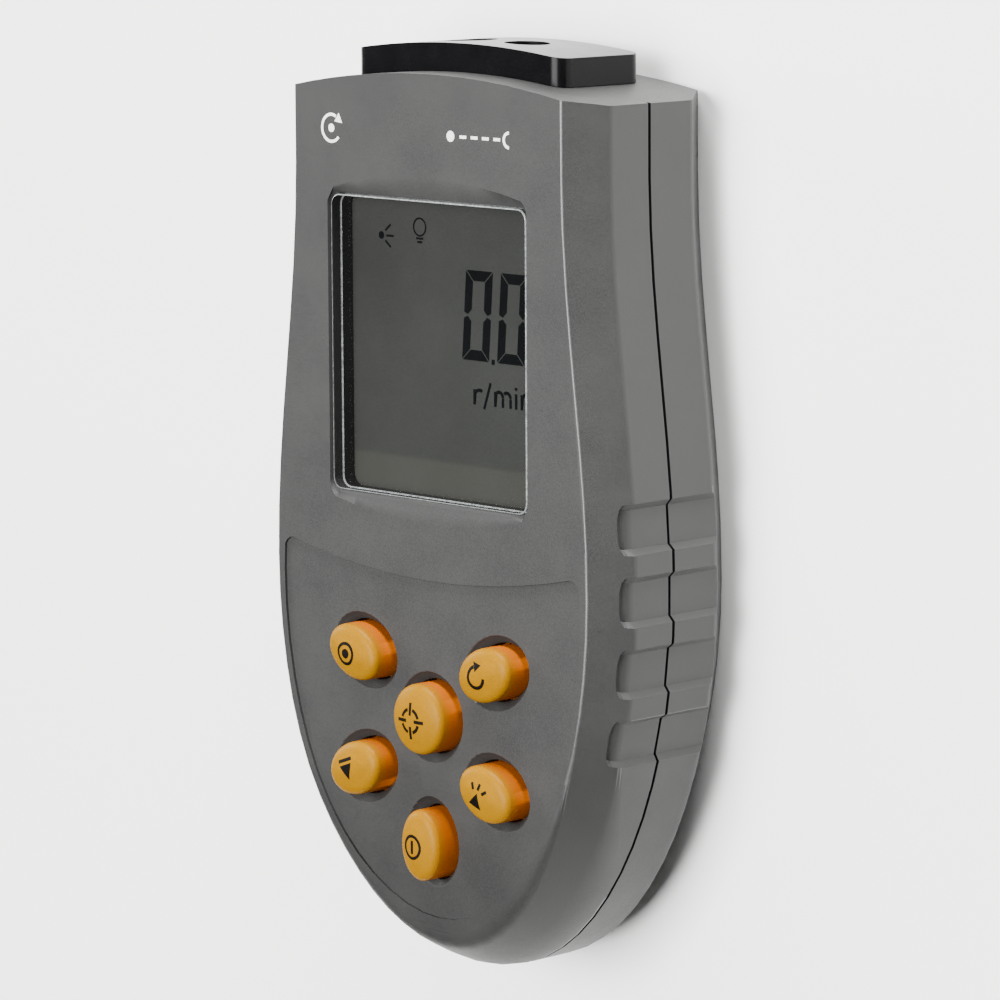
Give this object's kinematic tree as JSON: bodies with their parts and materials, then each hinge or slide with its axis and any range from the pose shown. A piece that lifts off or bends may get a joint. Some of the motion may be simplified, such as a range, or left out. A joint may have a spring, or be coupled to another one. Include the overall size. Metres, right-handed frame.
{
  "type": "laser tachometer",
  "caption": "Handheld optical tachometer: tapered grey moulded housing with a sensor head, a segment display, amber rubber keys, grip grooves and a sliding battery cover.",
  "frame": {"origin": "middle of the whole outline, on the plane of the flat back", "axes": "+Z out of the display side, +Y along the length towards the sensor head, +X across the width, so that the head points up when the display is read"},
  "size_m": [0.0698, 0.131, 0.032],
  "materials": {
    "case_plastic": "fine spark-eroded texture, mid grey ABS",
    "cap_plastic": "smooth black",
    "window_plastic": "clear acrylic",
    "frame_plastic": "black",
    "lcd_glass": "reflective display glass",
    "pin_metal": "tinned",
    "board_laminate": "green solder mask",
    "contact_gold": "gold-plated copper",
    "chip_epoxy": "moulded epoxy",
    "can_metal": "drawn can",
    "capacitor_sleeve": "bare can",
    "key_rubber": "amber silicone, satin",
    "carbon_pill": "conductive carbon",
    "holder_plastic": "black",
    "barrel_brass": "turned",
    "lens_plastic": "clear",
    "laser_lens_plastic": "clear with a red tint",
    "sensor_epoxy": "dark epoxy",
    "battery_jacket": "lacquered steel jacket",
    "snap_vinyl": "black vinyl",
    "lead_red_pvc": "insulation",
    "lead_black_pvc": "insulation",
    "laser_lead_pvc": "insulation",
    "pad_foam": "open-cell foam",
    "screw_steel": "zinc plated"
  },
  "bodies": {
    "housing": {"front_case": "case_plastic", "rear_case": "case_plastic", "head_cap": "cap_plastic", "display_window": "window_plastic", "lcd_frame": "frame_plastic", "lcd_panel": "lcd_glass", "lcd_pins": "pin_metal", "main_board": "board_laminate", "contact_pads": "contact_gold", "microcontroller": "chip_epoxy", "amplifier_chip": "chip_epoxy", "quartz_crystal": "can_metal", "capacitor": "capacitor_sleeve", "voltage_regulator": "chip_epoxy", "keypad_mat": "key_rubber", "optics_holder": "holder_plastic", "holder_screws": "screw_steel", "laser_barrel": "barrel_brass", "laser_board": "board_laminate", "laser_leads": "laser_lead_pvc", "laser_lens": "laser_lens_plastic", "receiver_lens": "lens_plastic", "photo_sensor": "sensor_epoxy", "battery": "battery_jacket", "battery_snap": "snap_vinyl", "lead_red": "lead_red_pvc", "lead_black": "lead_black_pvc", "battery_pad": "pad_foam", "case_screws": "screw_steel", "board_screws": "screw_steel"},
    "key_record": {"key_record": "key_rubber", "pill_record": "carbon_pill"},
    "key_auto": {"key_auto": "key_rubber", "pill_auto": "carbon_pill"},
    "key_test": {"key_test": "key_rubber", "pill_test": "carbon_pill"},
    "key_max": {"key_max": "key_rubber", "pill_max": "carbon_pill"},
    "key_laser": {"key_laser": "key_rubber", "pill_laser": "carbon_pill"},
    "key_power": {"key_power": "key_rubber", "pill_power": "carbon_pill"},
    "battery_cover": {"battery_cover": "case_plastic"}
  },
  "joints": [
    {"name": "record_press", "type": "slide", "parent": "housing", "child": "key_record", "axis": [0, 0, -1], "range_m": [0, 0.001], "stiffness_N_per_m": 900, "springref_m": -0.0004, "deforming": ["keypad_mat"]},
    {"name": "auto_press", "type": "slide", "parent": "housing", "child": "key_auto", "axis": [0, 0, -1], "range_m": [0, 0.001], "stiffness_N_per_m": 900, "springref_m": -0.0004, "deforming": ["keypad_mat"]},
    {"name": "test_press", "type": "slide", "parent": "housing", "child": "key_test", "axis": [0, 0, -1], "range_m": [0, 0.001], "stiffness_N_per_m": 900, "springref_m": -0.0004, "deforming": ["keypad_mat"]},
    {"name": "max_press", "type": "slide", "parent": "housing", "child": "key_max", "axis": [0, 0, -1], "range_m": [0, 0.001], "stiffness_N_per_m": 900, "springref_m": -0.0004, "deforming": ["keypad_mat"]},
    {"name": "laser_press", "type": "slide", "parent": "housing", "child": "key_laser", "axis": [0, 0, -1], "range_m": [0, 0.001], "stiffness_N_per_m": 900, "springref_m": -0.0004, "deforming": ["keypad_mat"]},
    {"name": "power_press", "type": "slide", "parent": "housing", "child": "key_power", "axis": [0, 0, -1], "range_m": [0, 0.001], "stiffness_N_per_m": 900, "springref_m": -0.0004, "deforming": ["keypad_mat"]},
    {"name": "cover_slide", "type": "slide", "parent": "housing", "child": "battery_cover", "axis": [0, -1, 0], "range_m": [0, 0.055]}
  ]
}
